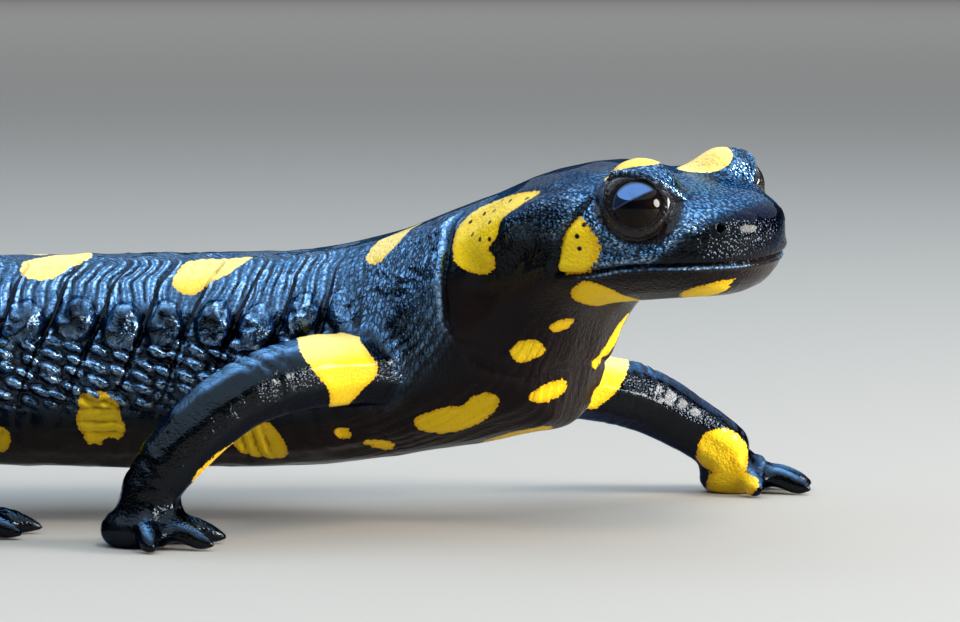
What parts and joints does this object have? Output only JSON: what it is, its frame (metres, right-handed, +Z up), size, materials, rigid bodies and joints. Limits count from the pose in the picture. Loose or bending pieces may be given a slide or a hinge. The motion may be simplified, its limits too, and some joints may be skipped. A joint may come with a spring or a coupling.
{
  "type": "fire salamander",
  "caption": "Life-size still model of a walking fire salamander, glossy black with yellow blotches, head turned to its right and tail on the floor.",
  "frame": {"origin": "on the floor, under the middle of the whole animal", "axes": "+X from the tail towards the head, +Y to the animal's left, +Z up"},
  "size_m": [0.1496, 0.0486, 0.0289],
  "materials": {
    "black_skin": "wet, glossy black skin, finely pored and wrinkled, with yellow blotches",
    "yellow_skin": "wet, glossy yellow skin over the glands, with small black pores",
    "wet_eye": "clear wet cornea over a dark brown iris and a black pupil"
  },
  "bodies": {
    "root": {"eye_left": "wet_eye", "eye_right": "wet_eye", "finger_left_1": "black_skin", "finger_left_2": "black_skin", "finger_left_3": "black_skin", "finger_left_4": "black_skin", "finger_right_1": "black_skin", "finger_right_2": "black_skin", "finger_right_3": "black_skin", "finger_right_4": "black_skin", "foot_left": "black_skin", "foot_right": "black_skin", "forearm_left": "black_skin", "forearm_right": "black_skin", "hand_left": "black_skin", "hand_right": "black_skin", "head": "black_skin", "lower_jaw": "black_skin", "neck": "black_skin", "parotoid_left": "yellow_skin", "parotoid_right": "yellow_skin", "shin_left": "black_skin", "shin_right": "black_skin", "tail_base": "black_skin", "tail_middle": "black_skin", "tail_tip": "black_skin", "thigh_left": "black_skin", "thigh_right": "black_skin", "toe_left_1": "black_skin", "toe_left_2": "black_skin", "toe_left_3": "black_skin", "toe_left_4": "black_skin", "toe_left_5": "black_skin", "toe_right_1": "black_skin", "toe_right_2": "black_skin", "toe_right_3": "black_skin", "toe_right_4": "black_skin", "toe_right_5": "black_skin", "trunk_front": "black_skin", "trunk_middle": "black_skin", "trunk_rear": "black_skin", "upper_arm_left": "black_skin", "upper_arm_right": "black_skin"}
  },
  "joints": []
}
